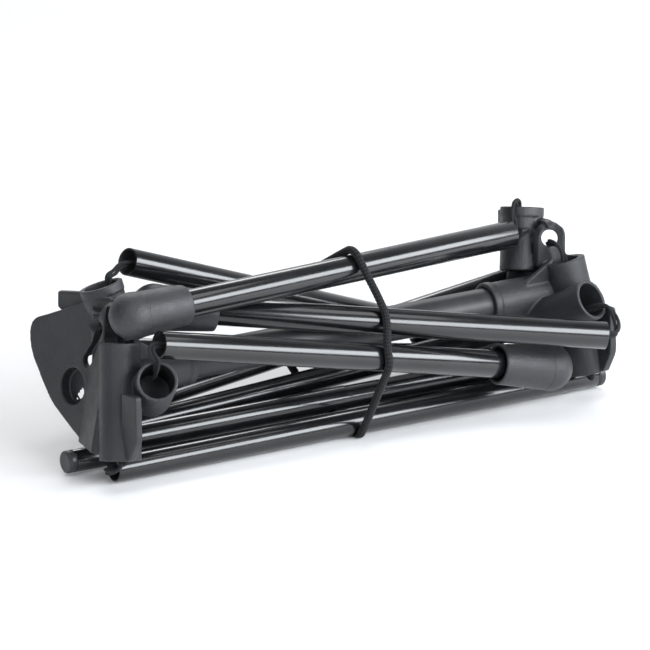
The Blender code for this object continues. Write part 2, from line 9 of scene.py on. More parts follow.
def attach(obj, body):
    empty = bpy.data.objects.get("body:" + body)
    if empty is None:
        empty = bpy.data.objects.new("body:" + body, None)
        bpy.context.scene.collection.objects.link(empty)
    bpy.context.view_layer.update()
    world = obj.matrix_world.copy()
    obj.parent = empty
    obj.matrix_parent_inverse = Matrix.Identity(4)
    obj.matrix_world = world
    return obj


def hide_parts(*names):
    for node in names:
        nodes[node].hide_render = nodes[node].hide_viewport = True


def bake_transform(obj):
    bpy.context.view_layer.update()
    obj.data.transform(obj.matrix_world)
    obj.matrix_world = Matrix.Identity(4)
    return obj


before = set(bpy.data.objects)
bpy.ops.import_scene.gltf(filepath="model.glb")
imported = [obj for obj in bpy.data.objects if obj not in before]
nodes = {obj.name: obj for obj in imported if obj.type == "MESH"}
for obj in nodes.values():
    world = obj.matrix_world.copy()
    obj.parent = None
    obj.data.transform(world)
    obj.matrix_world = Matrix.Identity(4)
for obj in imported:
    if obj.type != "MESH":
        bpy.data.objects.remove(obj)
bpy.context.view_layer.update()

MM = 0.001
HUB_SPACING = 290.0
CENTRE_X = 149.672
CENTRE_Y = 4.565
FLOOR_Z = -62.231

AXIS_A = ((10.0, 17.0, 11.0), (2.9, 26.3, 45.7))
AXIS_B = ((13.5, -10.3, -12.7), (-1.1, -41.7, 7.4))
AXIS_C = ((-4.4, -7.0, 21.7), (-13.4, -21.5, -43.4))
AXIS_D = ((0.0, 10.0, -8.0), (-2.0, 38.0, -26.0))

LEG_R = 8.0
LEG_BORE_R = 7.0
BALL_R = 13.7
CAP_BACK = 36.0
CAP_MOUTH_R = 11.6
CAP_RECESS_R = 9.7
CAP_BORE_R = 8.3
LEG_IN_CAP = 20.0
POLE_WALL = 0.9
PLUG_LENGTH = 5.0
FERRULE_OUT = 14.0

LEG_ENDS = {
    "upper_right_leg": ((266.9, 6.9, 37.7), (-2.3, -17.1, 39.7)),
    "upper_left_leg": ((25.7, 34.3, 53.7), (274.7, 67.2, -41.6)),
    "front_right_leg": ((286.1, -64.1, -7.5), (32.8, 17.1, 29.8)),
    "front_left_leg": ((4.0, -35.4, 26.3), (265.1, -37.1, -30.3)),
}
POLE_ENDS = {
    "front_left_pole": ((-8.2, -5.6, -54.0), (324.6, 0.8, -54.0)),
    "front_right_pole": ((309.0, 20.0, -54.5), (-24.0, 21.9, -54.5)),
    "rear_left_upper_pole": ((297.0, 11.4, -43.4), (9.0, 11.4, -43.4)),
    "rear_right_upper_pole": ((8.0, 31.8, -44.7), (277.0, 31.8, -29.9)),
    "rear_right_lower_pole": ((292.0, 38.0, 0.2), (14.0, 44.8, -38.6)),
    "rear_left_lower_pole": ((24.0, 64.0, -6.6), (311.0, 43.0, -53.8)),
}
POLE_R = {
    "front_left_pole": 7.1,
    "front_right_pole": 6.6,
    "rear_left_upper_pole": 7.1,
    "rear_right_upper_pole": 6.6,
    "rear_right_lower_pole": 6.7,
    "rear_left_lower_pole": 7.1,
}
BODY = {
    "rear_right_upper_pole": "rear_right_pole",
    "rear_right_lower_pole": "rear_right_pole",
}


def at(point):
    x, y, z = point
    return Vector((x - CENTRE_X, y - CENTRE_Y, z - FLOOR_Z)) * MM


def along(start, end, distance):
    a, b = Vector(start), Vector(end)
    return tuple(a + (b - a).normalized() * distance)


def mirrored(point):
    return (HUB_SPACING - point[0], point[1], point[2])


# ---------------------------------------------------------------- camera

LENS_MM = 1000.0
SENSOR_MM = 36.0
CAMERA_DISTANCE = 10.315
AIM = at((136.8, 0.0, 6.55))
TO_CAMERA = Vector((-0.505, -0.809, 0.300)).normalized()

camera_data = bpy.data.cameras.new("Camera")
camera_data.lens = LENS_MM
camera_data.sensor_width = SENSOR_MM
camera = bpy.data.objects.new("Camera", camera_data)
bpy.context.scene.collection.objects.link(camera)
camera.location = AIM + TO_CAMERA * CAMERA_DISTANCE
camera.rotation_euler = (-TO_CAMERA).to_track_quat("-Z", "Y").to_euler()
bpy.context.scene.camera = camera


# ---------------------------------------------------------------- materials


class Nodes:
    """Short form for building a material's node tree."""

    def __init__(self, name):
        self.material = bpy.data.materials.new(name)
        self.material.use_nodes = True
        self.tree = self.material.node_tree
        self.shader = self.tree.nodes["Principled BSDF"]

    def add(self, kind, **settings):
        node = self.tree.nodes.new(kind)
        for key, value in settings.items():
            setattr(node, key, value)
        return node

    def link(self, out, into):
        self.tree.links.new(out, into)

    def coords(self, kind="Object"):
        return self.add("ShaderNodeTexCoord").outputs[kind]

    def scaled(self, vector, scale):
        mapping = self.add("ShaderNodeMapping")
        mapping.inputs["Scale"].default_value = scale
        self.link(vector, mapping.inputs["Vector"])
        return mapping.outputs["Vector"]

    def noise(self, vector, scale, detail=3.0, roughness=0.55):
        node = self.add("ShaderNodeTexNoise")
        node.inputs["Scale"].default_value = scale
        node.inputs["Detail"].default_value = detail
        node.inputs["Roughness"].default_value = roughness
        self.link(vector, node.inputs["Vector"])
        return node.outputs["Fac"]

    def ramp(self, value, stops):
        node = self.add("ShaderNodeValToRGB")
        elements = node.color_ramp.elements
        while len(elements) < len(stops):
            elements.new(0.5)
        for element, (position, colour) in zip(elements, stops):
            element.position = position
            element.color = (*colour, 1.0) if len(colour) == 3 else colour
        self.link(value, node.inputs["Fac"])
        return node.outputs["Color"]

    def remap(self, value, low, high, new_low, new_high):
        node = self.add("ShaderNodeMapRange")
        limits = {"From Min": low, "From Max": high, "To Min": new_low, "To Max": new_high}
        for key, number in limits.items():
            node.inputs[key].default_value = number
        self.link(value, node.inputs["Value"])
        return node.outputs["Result"]

    def math(self, operation, a, b):
        node = self.add("ShaderNodeMath", operation=operation)
        for socket, value in zip(node.inputs, (a, b)):
            if isinstance(value, (int, float)):
                socket.default_value = value
            else:
                self.link(value, socket)
        return node.outputs[0]

    def bump(self, height, strength, distance, under=None):
        node = self.add("ShaderNodeBump")
        node.inputs["Strength"].default_value = strength
        node.inputs["Distance"].default_value = distance
        self.link(height, node.inputs["Height"])
        if under is not None:
            self.link(under, node.inputs["Normal"])
        return node.outputs["Normal"]


def moulded(name, dark, light, rough, grain, depth):
    """Fine-textured moulding: spark-eroded grain, slow shade changes and slightly polished spots."""
    n = Nodes(name)
    where = n.coords()
    broad = n.noise(where, 26.0, 4.0)
    colour = n.ramp(broad, [(0.32, dark), (0.70, light)])
    n.link(colour, n.shader.inputs["Base Color"])
    handled = n.noise(where, 95.0, 5.0, 0.6)
    roughness = n.remap(handled, 0.35, 0.70, rough - 0.07, rough + 0.08)
    n.link(roughness, n.shader.inputs["Roughness"])
    fine = n.noise(where, grain, 2.0, 0.5)
    coarse = n.noise(where, grain * 0.28, 2.0, 0.5)
    normal = n.bump(fine, 0.55, depth)
    normal = n.bump(coarse, 0.30, depth * 1.6, normal)
    n.link(normal, n.shader.inputs["Normal"])
    n.shader.inputs["Specular IOR Level"].default_value = 0.46
    return n.material


def tube_paint():
    """Gloss black coating: faint orange peel, fine lengthwise drawing lines and a few rubbed patches."""
    n = Nodes("Tube gloss black")
    where = n.coords()
    lengthwise = n.coords("UV")
    lines = n.noise(n.scaled(lengthwise, (60.0, 1.2, 1.0)), 6.0, 4.0, 0.6)
    rubbed = n.noise(where, 34.0, 5.0, 0.62)
    tone = n.ramp(rubbed, [(0.40, (0.0045, 0.0046, 0.0052)), (0.72, (0.0100, 0.0104, 0.0118))])
    n.link(tone, n.shader.inputs["Base Color"])
    rough_a = n.remap(lines, 0.30, 0.75, 0.17, 0.25)
    rough_b = n.remap(rubbed, 0.45, 0.75, 0.0, 0.06)
    n.link(n.math("ADD", rough_a, rough_b), n.shader.inputs["Roughness"])
    peel = n.noise(where, 900.0, 2.0, 0.4)
    normal = n.bump(peel, 0.05, 0.0002)
    normal = n.bump(lines, 0.035, 0.0002, normal)
    n.link(normal, n.shader.inputs["Normal"])
    n.shader.inputs["Coat Weight"].default_value = 0.35
    n.shader.inputs["Coat Roughness"].default_value = 0.07
    n.shader.inputs["Specular IOR Level"].default_value = 0.62
    return n.material


def bore_metal():
    """Bare inside of a tube: dull drawn aluminium gone grey."""
    n = Nodes("Tube bore")
    where = n.coords()
    lengthwise = n.coords("UV")
    lines = n.noise(n.scaled(lengthwise, (80.0, 1.0, 1.0)), 5.0, 4.0, 0.65)
    colour = n.ramp(lines, [(0.30, (0.030, 0.030, 0.032)), (0.75, (0.085, 0.086, 0.090))])
    n.link(colour, n.shader.inputs["Base Color"])
    dust = n.noise(where, 420.0, 3.0)
    n.link(n.remap(dust, 0.3, 0.7, 0.42, 0.60), n.shader.inputs["Roughness"])
    n.link(n.bump(lines, 0.12, 0.0002), n.shader.inputs["Normal"])
    n.shader.inputs["Metallic"].default_value = 0.6
    return n.material


def bar_paint():
    n = Nodes("Cross bar satin")
    where = n.coords()
    lengthwise = n.coords("UV")
    rubbed = n.noise(where, 60.0, 5.0, 0.6)
    tone = n.ramp(rubbed, [(0.38, (0.016, 0.0165, 0.018)), (0.74, (0.030, 0.031, 0.034))])
    n.link(tone, n.shader.inputs["Base Color"])
    lines = n.noise(n.scaled(lengthwise, (40.0, 1.0, 1.0)), 5.0, 4.0)
    n.link(n.remap(lines, 0.3, 0.7, 0.40, 0.50), n.shader.inputs["Roughness"])
    peel = n.noise(where, 1500.0, 2.0)
    n.link(n.bump(peel, 0.25, 0.0001), n.shader.inputs["Normal"])
    n.shader.inputs["Specular IOR Level"].default_value = 0.5
    return n.material


def brushed_metal():
    n = Nodes("Ferrule brushed metal")
    lengthwise = n.coords("UV")
    rings = n.noise(n.scaled(lengthwise, (1.5, 260.0, 1.0)), 5.0, 4.0)
    colour = n.ramp(rings, [(0.25, (0.42, 0.43, 0.45)), (0.80, (0.62, 0.63, 0.65))])
    n.link(colour, n.shader.inputs["Base Color"])
    n.link(n.remap(rings, 0.3, 0.7, 0.24, 0.42), n.shader.inputs["Roughness"])
    n.link(n.bump(rings, 0.10, 0.0001), n.shader.inputs["Normal"])
    n.shader.inputs["Metallic"].default_value = 1.0
    return n.material


def braid(name, dark, light, across, pitch):
    """Woven jacket of a cord: two sets of crossing yarns, in the cord's own length and round coordinates; its
    colour is painted shade, darker in the hollows between yarns and lighter on the crests, mixed with random
    fibre tone.
    """
    n = Nodes(name)
    uv = n.coords("UV")
    split = n.add("ShaderNodeSeparateXYZ")
    n.link(uv, split.inputs[0])
    turn = n.math("MULTIPLY", split.outputs["X"], across * 2.0 * math.pi)
    run = n.math("MULTIPLY", split.outputs["Y"], 2.0 * math.pi / pitch)
    one = n.math("SINE", n.math("ADD", turn, run), 0.0)
    two = n.math("SINE", n.math("SUBTRACT", turn, run), 0.0)
    weave = n.math("MULTIPLY", one, two)
    height = n.remap(weave, -1.0, 1.0, 0.0, 1.0)
    fibres = n.noise(n.coords(), 5200.0, 2.0)
    # Colour: painted shade in the weave's hollows (three quarters) mixed with random fibre tone (one
    # quarter).
    hollow_shade_and_fibres = n.math("ADD", n.math("MULTIPLY", height, 0.75), n.math("MULTIPLY", fibres, 0.25))
    n.link(n.ramp(hollow_shade_and_fibres, [(0.15, dark), (0.85, light)]), n.shader.inputs["Base Color"])
    n.link(n.remap(fibres, 0.3, 0.7, 0.72, 0.95), n.shader.inputs["Roughness"])
    n.link(n.bump(hollow_shade_and_fibres, 0.8, 0.00025), n.shader.inputs["Normal"])
    n.shader.inputs["Sheen Weight"].default_value = 0.06
    n.shader.inputs["Sheen Roughness"].default_value = 0.45
    n.shader.inputs["Specular IOR Level"].default_value = 0.25
    return n.material


HUB = moulded("Hub moulded plastic", (0.018, 0.0187, 0.0212), (0.027, 0.0280, 0.0315), 0.47, 1800.0, 0.0003)
FOOT = moulded("Foot rubber", (0.024, 0.0247, 0.0275), (0.035, 0.0360, 0.0400), 0.44, 1500.0, 0.0005)
PLUG = moulded("Pole plug plastic", (0.026, 0.0266, 0.0290), (0.042, 0.0428, 0.046), 0.38, 2400.0, 0.00006)
TUBE = tube_paint()
BORE = bore_metal()
BAR = bar_paint()
FERRULE = brushed_metal()
# Cord and loop jackets: the dark colour is painted shade in the weave's hollows, the light colour is the yarn
# crests.
CORD = braid("Shock cord jacket", (0.005, 0.005, 0.0055), (0.024, 0.0245, 0.027), 5.0, 0.0024)
LOOP = braid("Elastic loop jacket", (0.002, 0.002, 0.0022), (0.022, 0.022, 0.0245), 5.0, 0.0042)


# ---------------------------------------------------------------- mesh builders


def piece(name, verts, faces, uvs, looks, indices=None, flat=40.0):
    """Object from computed rings of vertices, with a UV per face corner."""
    mesh = bpy.data.meshes.new(name)
    mesh.from_pydata([tuple(v) for v in verts], [], faces)
    layer = mesh.uv_layers.new(name="UVMap")
    for poly, corners in zip(mesh.polygons, uvs):
        for loop_index, uv in zip(poly.loop_indices, corners):
            layer.data[loop_index].uv = uv
    for look in looks:
        mesh.materials.append(look)
    if indices:
        mesh.polygons.foreach_set("material_index", indices)
    mesh.shade_smooth()
    mesh.set_sharp_from_angle(angle=math.radians(flat))
    made = bpy.data.objects.new(name, mesh)
    bpy.context.scene.collection.objects.link(made)
    return made


def turned(name, profile, start, end, looks, closed=False, segments=72, bore_from=None, flat=40.0):
    """Turned piece: profile of (radius, height) in millimetres along the line from start to end."""
    a, b = at(start), at(end)
    direction = (b - a).normalized()
    place = Matrix.Translation(a) @ direction.to_track_quat("Z", "Y").to_matrix().to_4x4()
    verts, rings = [], []
    for radius, height in profile:
        if radius <= 1e-6:
            rings.append([len(verts)])
            verts.append(place @ Vector((0.0, 0.0, height * MM)))
            continue
        ring = []
        for index in range(segments):
            angle = 2 * math.pi * index / segments
            ring.append(len(verts))
            spot = Vector((radius * math.cos(angle), radius * math.sin(angle), height)) * MM
            verts.append(place @ spot)
        rings.append(ring)
    reach = [0.0]
    for (r1, h1), (r2, h2) in zip(profile, profile[1:] + profile[:1]):
        reach.append(reach[-1] + math.dist((r1, h1), (r2, h2)) * MM)
    pairs = list(zip(range(len(rings)), range(1, len(rings))))
    if closed:
        pairs.append((len(rings) - 1, 0))
    faces, uvs, indices = [], [], []
    for count, (first, second) in enumerate(pairs):
        one, two = rings[first], rings[second]
        v1, v2 = reach[count], reach[count + 1]
        inner = bore_from is not None and count >= bore_from
        for index in range(segments):
            after = (index + 1) % segments
            u1, u2 = index / segments, (index + 1) / segments
            if len(one) == 1 and len(two) == 1:
                continue
            if len(one) == 1:
                faces.append((one[0], two[index], two[after]))
                uvs.append(((u1, v1), (u1, v2), (u2, v2)))
            elif len(two) == 1:
                faces.append((one[index], two[0], one[after]))
                uvs.append(((u1, v1), (u1, v2), (u2, v1)))
            else:
                faces.append((one[index], two[index], two[after], one[after]))
                uvs.append(((u1, v1), (u1, v2), (u2, v2), (u2, v1)))
            indices.append(1 if inner else 0)
    return piece(name, verts, faces, uvs, looks, indices, flat)


def spline(knots, steps=14, cyclic=False):
    """Smooth path through the knots, in millimetres."""
    knots = [Vector(knot) for knot in knots]
    if cyclic:
        ends = [knots[-1], *knots, knots[0], knots[1]]
    else:
        ends = [knots[0] * 2 - knots[1], *knots, knots[-1] * 2 - knots[-2]]
    points = []
    for index in range(1, len(ends) - 2):
        p0, p1, p2, p3 = ends[index - 1:index + 3]
        for step in range(steps):
            t = step / steps
            points.append(0.5 * ((2 * p1) + (p2 - p0) * t + (2 * p0 - 5 * p1 + 4 * p2 - p3) * t * t
                                 + (3 * p1 - p0 - 3 * p2 + p3) * t ** 3))
    if not cyclic:
        points.append(knots[-1])
    return points


def even(points, spacing, cyclic=False):
    """The same path with points at even distances."""
    chain = points + points[:1] if cyclic else points
    lengths = [0.0]
    for here, after in zip(chain, chain[1:]):
        lengths.append(lengths[-1] + (after - here).length)
    total = lengths[-1]
    count = max(4, round(total / spacing))
    result, spot = [], 0
    for index in range(count if cyclic else count + 1):
        target = total * index / count
        while spot < len(lengths) - 2 and lengths[spot + 1] < target:
            spot += 1
        span = max(lengths[spot + 1] - lengths[spot], 1e-9)
        result.append(chain[spot].lerp(chain[spot + 1], (target - lengths[spot]) / span))
    return result


def frames(points, cyclic=False):
    """A turning frame (across, up) at each point that doesn't twist."""
    count = len(points)
    headings = []
    for index in range(count):
        before = points[index - 1] if cyclic or index else points[0]
        after = points[(index + 1) % count] if cyclic or index < count - 1 else points[-1]
        headings.append((after - before).normalized())
    up = Vector((0.0, 0.0, 1.0))
    if abs(headings[0].dot(up)) > 0.9:
        up = Vector((0.0, 1.0, 0.0))
    across = headings[0].cross(up).normalized()
    result = []
    for heading in headings:
        across = (across - heading * across.dot(heading)).normalized()
        result.append((across.copy(), heading.cross(across)))
    if cyclic:
        # Spread the leftover twist over the whole loop.
        first = result[0][0]
        last = (first - headings[-1] * first.dot(headings[-1])).normalized()
        twist = math.atan2(last.dot(result[-1][1]), last.dot(result[-1][0]))
        spun = []
        for index, (a, b) in enumerate(result):
            angle = twist * index / (count - 1)
            cos, sin = math.cos(angle), math.sin(angle)
            spun.append((a * cos + b * sin, b * cos - a * sin))
        result = spun
    return result


YARNS = 5


def strand(name, points, radius, look, sides, cyclic=False, relief=0.05, pitch=2.4):
    """Braided cord swept along points (millimetres): crossing yarns stand out of its surface."""
    turning = frames(points, cyclic)
    verts, runs, run = [], [], 0.0
    for index, (point, (a, b)) in enumerate(zip(points, turning)):
        if index:
            run += (point - points[index - 1]).length
        runs.append(run)
        for side in range(sides):
            angle = 2 * math.pi * side / sides
            phase = 2 * math.pi * run / pitch
            weave = math.sin(YARNS * angle + phase) * math.sin(YARNS * angle - phase)
            reach = radius * (1.0 + relief * (weave - 0.25))
            verts.append(at(point + a * (reach * math.cos(angle)) + b * (reach * math.sin(angle))))
    count = len(points)
    faces, uvs = [], []
    for index in range(count if cyclic else count - 1):
        after = (index + 1) % count
        end_run = runs[after] if after else run + (points[0] - points[-1]).length
        for side in range(sides):
            beside = (side + 1) % sides
            here, there = index * sides, after * sides
            faces.append((here + side, here + beside, there + beside, there + side))
            u1, u2 = side / sides, (side + 1) / sides
            v1, v2 = runs[index] * MM, end_run * MM
            uvs.append(((u1, v1), (u2, v1), (u2, v2), (u1, v2)))
    if not cyclic:
        faces.append(tuple(reversed(range(sides))))
        uvs.append([(side / sides, 0.0) for side in range(sides)])
        faces.append(tuple((count - 1) * sides + side for side in range(sides)))
        uvs.append([(side / sides, run * MM) for side in range(sides)])
    return piece(name, verts, faces, uvs, [look], flat=180.0)


# ---------------------------------------------------------------- hubs


HUB_VOXEL = 0.00055
HUB_SMOOTHING = 5


def soften(node_name):
    """The hub with soft moulded edges: the CAD solid remeshed finely and smoothed."""
    source = nodes[node_name]
    mesh = source.data.copy()
    made = bpy.data.objects.new(node_name + "_moulding", mesh)
    bpy.context.scene.collection.objects.link(made)
    made.matrix_world = source.matrix_world.copy()
    remesh = made.modifiers.new("Remesh", "REMESH")
    remesh.mode = "VOXEL"
    remesh.voxel_size = HUB_VOXEL
    smooth = made.modifiers.new("Smooth", "SMOOTH")
    smooth.factor = 0.5
    smooth.iterations = HUB_SMOOTHING
    bpy.context.view_layer.update()
    graph = bpy.context.evaluated_depsgraph_get()
    solid = bpy.data.meshes.new_from_object(made.evaluated_get(graph))
    made.modifiers.clear()
    made.data = solid
    solid.materials.clear()
    solid.materials.append(HUB)
    solid.shade_smooth()
    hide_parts(node_name)
    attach(made, "frame")


soften("left_hub")
soften("right_hub")


# ---------------------------------------------------------------- cross bar, legs and poles

BAR_INSET = 20.9
BAR_R = 10.2
BAR_EDGE = 0.6
bar_start, bar_end = BAR_INSET, HUB_SPACING - BAR_INSET
bar_length = bar_end - bar_start
bar_profile = [
    (0.0, bar_length),
    (BAR_R - BAR_EDGE, bar_length),
    (BAR_R, bar_length - BAR_EDGE),
    (BAR_R, bar_length * 0.5),
    (BAR_R, BAR_EDGE),
    (BAR_R - BAR_EDGE, 0.0),
    (0.0, 0.0),
]
bar = turned("cross_bar_tube", bar_profile, (bar_start, 0.0, 0.0), (bar_end, 0.0, 0.0), [BAR])
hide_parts("cross_bar")
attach(bar, "frame")


TUBE_EDGE = 0.22


def tube(name, radius, bore, length, start, end, body, step=None):
    """Open tube with slightly rounded cut ends and a bare bore."""
    edge = TUBE_EDGE
    top = [(bore + 0.05, length), (radius - edge, length),
           (radius - edge * 0.3, length - edge * 0.3), (radius, length - edge)]
    if step:
        step_at, step_radius = step
        side = [(radius, step_at + 1.2), (radius - 0.06, step_at + 0.5),
                (step_radius + 0.05, step_at - 1.4), (step_radius, step_at - 2.2), (step_radius, edge)]
        low = step_radius
    else:
        side = [(radius, length * 0.5), (radius, edge)]
        low = radius
    foot = [(low - edge * 0.3, edge * 0.3), (low - edge, 0.0), (bore + 0.05, 0.0), (bore, 0.12)]
    profile = [*top, *side, *foot, (bore, length - 0.12)]
    made = turned(name + "_shell", profile, start, end, [TUBE, BORE], closed=True,
                  bore_from=len(profile) - 2)
    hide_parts(name)
    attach(made, body)


def cap_profile():
    """Rubber foot: bore, rounded mouth, tapering sleeve, a shallow line, then the ball."""
    inner = [(0.0, CAP_BACK - 22.0), (CAP_BORE_R, CAP_BACK - 22.0), (CAP_BORE_R, CAP_BACK - 6.2),
             (CAP_BORE_R + 0.5, CAP_BACK - 5.4), (CAP_RECESS_R - 0.1, CAP_BACK - 5.0),
             (CAP_RECESS_R, CAP_BACK - 4.2), (CAP_RECESS_R, CAP_BACK - 0.7),
             (CAP_RECESS_R + 0.25, CAP_BACK - 0.15)]
    rim = [(CAP_RECESS_R + 0.7, CAP_BACK), (CAP_MOUTH_R - 0.75, CAP_BACK - 0.05),
           (CAP_MOUTH_R - 0.25, CAP_BACK - 0.35), (CAP_MOUTH_R, CAP_BACK - 1.0)]
    side = []
    for step in range(1, 9):
        t = step / 8
        side_radius = CAP_MOUTH_R + (BALL_R - 0.55 - CAP_MOUTH_R) * (t ** 0.9)
        side.append((side_radius, CAP_BACK - 1.0 + (5.4 - CAP_BACK + 1.0) * t))
    line = [(BALL_R - 0.62, 4.6), (BALL_R - 0.72, 4.2), (BALL_R - 0.55, 3.9), (BALL_R - 0.28, 3.5)]
    ball = []
    for step in range(0, 25):
        angle = math.radians(-12 + 102 * step / 24)
        ball.append((BALL_R * math.cos(angle), -BALL_R * math.sin(angle)))
    ball[-1] = (0.0, -BALL_R)
    return [*inner, *rim, *side, *line, *ball]


for name, (open_end, ball) in LEG_ENDS.items():
    length = (Vector(ball) - Vector(open_end)).length
    tube(name + "_tube", LEG_R, LEG_BORE_R, length - CAP_BACK + LEG_IN_CAP, open_end, ball, name)
    foot = turned(name + "_rubber", cap_profile(), ball, open_end, [FOOT], segments=96, flat=60.0)
    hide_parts(name + "_foot")
    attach(foot, name)

PLUGGED = ("front_left_pole", "front_right_pole", "rear_left_upper_pole", "rear_right_upper_pole")
for name, (open_end, far_end) in POLE_ENDS.items():
    radius = POLE_R[name]
    bore = radius - POLE_WALL
    body = BODY.get(name, name)
    length = (Vector(far_end) - Vector(open_end)).length
    step = None
    if name == "rear_left_upper_pole":
        bore -= 0.4
        step = (139.6, 6.7)
    if name in PLUGGED:
        tube_length = length - PLUG_LENGTH
        profile = [(0.0, PLUG_LENGTH - 0.25), (radius * 0.55, PLUG_LENGTH - 0.1),
                   (radius - 1.5, PLUG_LENGTH), (radius - 0.75, PLUG_LENGTH - 0.12),
                   (radius - 0.25, PLUG_LENGTH - 0.45), (radius, PLUG_LENGTH - 1.1),
                   (radius, 1.35), (radius - 0.12, 1.15), (radius - 0.28, 1.05),
                   (radius - 0.28, 0.75), (radius - 0.12, 0.65), (radius, 0.45),
                   (radius - 0.1, 0.25), (bore - 0.3, 0.22), (bore - 0.3, -12.0), (0.0, -12.0)]
        cap = turned(name + "_cap", profile, along(open_end, far_end, tube_length), far_end, [PLUG])
        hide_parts(name + "_plug")
        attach(cap, body)
    else:
        tube_length = length - FERRULE_OUT
        profile = [(bore - 1.0, FERRULE_OUT), (bore - 0.5, 13.9), (bore - 0.3, 13.2), (bore - 0.3, 6.0),
                   (bore - 0.3, -16.0), (bore - 1.3, -16.0), (bore - 1.3, 13.8)]
        sleeve = turned(name + "_sleeve", profile, along(open_end, far_end, tube_length), far_end,
                        [FERRULE], closed=True)
        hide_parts(name + "_ferrule")
        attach(sleeve, body)
    tube(name + "_tube", radius, bore, tube_length, open_end, far_end, body, step)


# ---------------------------------------------------------------- shock cords


CORD_R = 1.05
CORD_SPACING = 0.42
CORD_LAY = 58.0
CORD_START_ANGLE = 0.6
CORD_SIDES = 16


def double_cord(name, node, knots, body, joint_body=None):
    """Doubled shock cord: two braided strands that turn slowly round each other."""
    centre = even(spline(knots), CORD_SPACING)
    turning = frames(centre)
    sides = ([], [])
    run = 0.0
    for index, (point, (a, b)) in enumerate(zip(centre, turning)):
        if index:
            run += (point - centre[index - 1]).length
        angle = CORD_START_ANGLE + 2 * math.pi * run / CORD_LAY
        offset = (a * math.cos(angle) + b * math.sin(angle)) * (CORD_R + 0.03)
        sides[0].append(point + offset)
        sides[1].append(point - offset)
    for index, points in enumerate(sides):
        made = strand("{}_strand_{}".format(name, index + 1), points, CORD_R, CORD, CORD_SIDES)
        if index == 0:
            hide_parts(node)
        if joint_body:
            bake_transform(made)
        else:
            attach(made, body)


def socket_point(axis, depth, right=False):
    point = along(axis[1], axis[0], depth)
    return mirrored(point) if right else point


def inside(name, ends, distance):
    return along(*ends[name], distance)


def leg_cord(name, axis, right, aside, between):
    deep, shallow = along(axis[1], axis[0], 15.0), along(axis[1], axis[0], 5.0)
    mouth = axis[1]
    if right:
        deep, shallow, mouth = mirrored(deep), mirrored(shallow), mirrored(mouth)
    knots = [tuple(Vector(deep) + Vector(aside) * 5.6), tuple(Vector(shallow) + Vector(aside) * 6.2),
             *between, inside(name, LEG_ENDS, 6.0), inside(name, LEG_ENDS, 16.0)]
    double_cord(name + "_shock", name + "_cord", knots, "frame", name)


leg_cord("upper_right_leg", AXIS_A, True, (-0.776, -0.55, 0.31),
         [(281.6, 22.4, 50.4), (277.4, 19.4, 52.0), (273.4, 15.0, 47.8), (270.6, 9.6, 40.2)])
leg_cord("upper_left_leg", AXIS_A, False, (0.94, 0.32, 0.115),
         [(9.8, 28.8, 48.6), (14.8, 30.4, 50.4), (20.6, 32.4, 53.0)])
leg_cord("front_right_leg", AXIS_B, True, (0.75, -0.087, -0.656),
         [(298.9, -45.0, 3.0), (301.0, -50.2, -1.6), (298.0, -58.4, -6.2), (292.4, -63.6, -8.0)])
leg_cord("front_left_leg", AXIS_B, False, (0.205, 0.46, 0.864),
         [(-0.3, -40.0, 18.8), (-2.2, -38.0, 23.0), (-0.4, -36.0, 26.6)])

LUG_LOOP = [(-6.6, 12.6, 26.6), (-4.4, 9.0, 27.6), (-1.4, 3.4, 29.6), (-1.6, -2.2, 30.2), (-3.7, -6.2, 26.4)]
THROUGH_C = [socket_point(AXIS_C, 60.0), socket_point(AXIS_C, 34.0), socket_point(AXIS_C, 6.0)]
double_cord(
    "front_left_pole_shock", "front_left_pole_cord",
    [*LUG_LOOP, *THROUGH_C, socket_point(AXIS_C, -3.4), (-14.6, -15.0, -51.6),
     inside("front_left_pole", POLE_ENDS, -5.0), inside("front_left_pole", POLE_ENDS, 4.0),
     inside("front_left_pole", POLE_ENDS, 14.0)],
    "frame", "front_left_pole",
)
double_cord(
    "front_right_pole_shock", "front_right_pole_cord",
    [*(mirrored(knot) for knot in (*LUG_LOOP, *THROUGH_C)), mirrored(socket_point(AXIS_C, -3.0)),
     (307.6, -14.0, -48.6), (310.4, -5.0, -46.2), (311.6, 1.4, -44.4), (314.6, 9.6, -46.0),
     (317.0, 17.2, -51.6),
     inside("front_right_pole", POLE_ENDS, -3.0), inside("front_right_pole", POLE_ENDS, 6.0),
     inside("front_right_pole", POLE_ENDS, 14.0)],
    "frame", "front_right_pole",
)
double_cord(
    "rear_left_shock", "rear_left_lower_pole_cord",
    [socket_point(AXIS_D, 13.0), socket_point(AXIS_D, 4.0), (-3.2, 46.0, -29.4), (1.6, 57.4, -22.4),
     (12.0, 63.6, -8.4), inside("rear_left_lower_pole", POLE_ENDS, 6.0),
     inside("rear_left_lower_pole", POLE_ENDS, 15.0)],
    "frame", "rear_left_lower_pole",
)
double_cord(
    "rear_right_shock", "rear_right_lower_pole_cord",
    [socket_point(AXIS_D, 13.0, True), socket_point(AXIS_D, 4.0, True), (293.0, 46.4, -29.6),
     (296.0, 50.6, -19.0), (297.0, 46.6, -6.0), (296.8, 40.2, 0.4),
     inside("rear_right_lower_pole", POLE_ENDS, 6.0),
     inside("rear_right_lower_pole", POLE_ENDS, 15.0)],
    "frame", "rear_right_pole",
)
double_cord(
    "rear_left_link", "rear_left_link_cord",
    [inside("rear_left_lower_pole", POLE_ENDS, 279.0), POLE_ENDS["rear_left_lower_pole"][1],
     (318.4, 38.6, -54.6), (317.4, 27.0, -50.0), (309.0, 14.6, -44.2),
     inside("rear_left_upper_pole", POLE_ENDS, 0.0), inside("rear_left_upper_pole", POLE_ENDS, 8.0)],
    "frame", "rear_left_lower_pole",
)
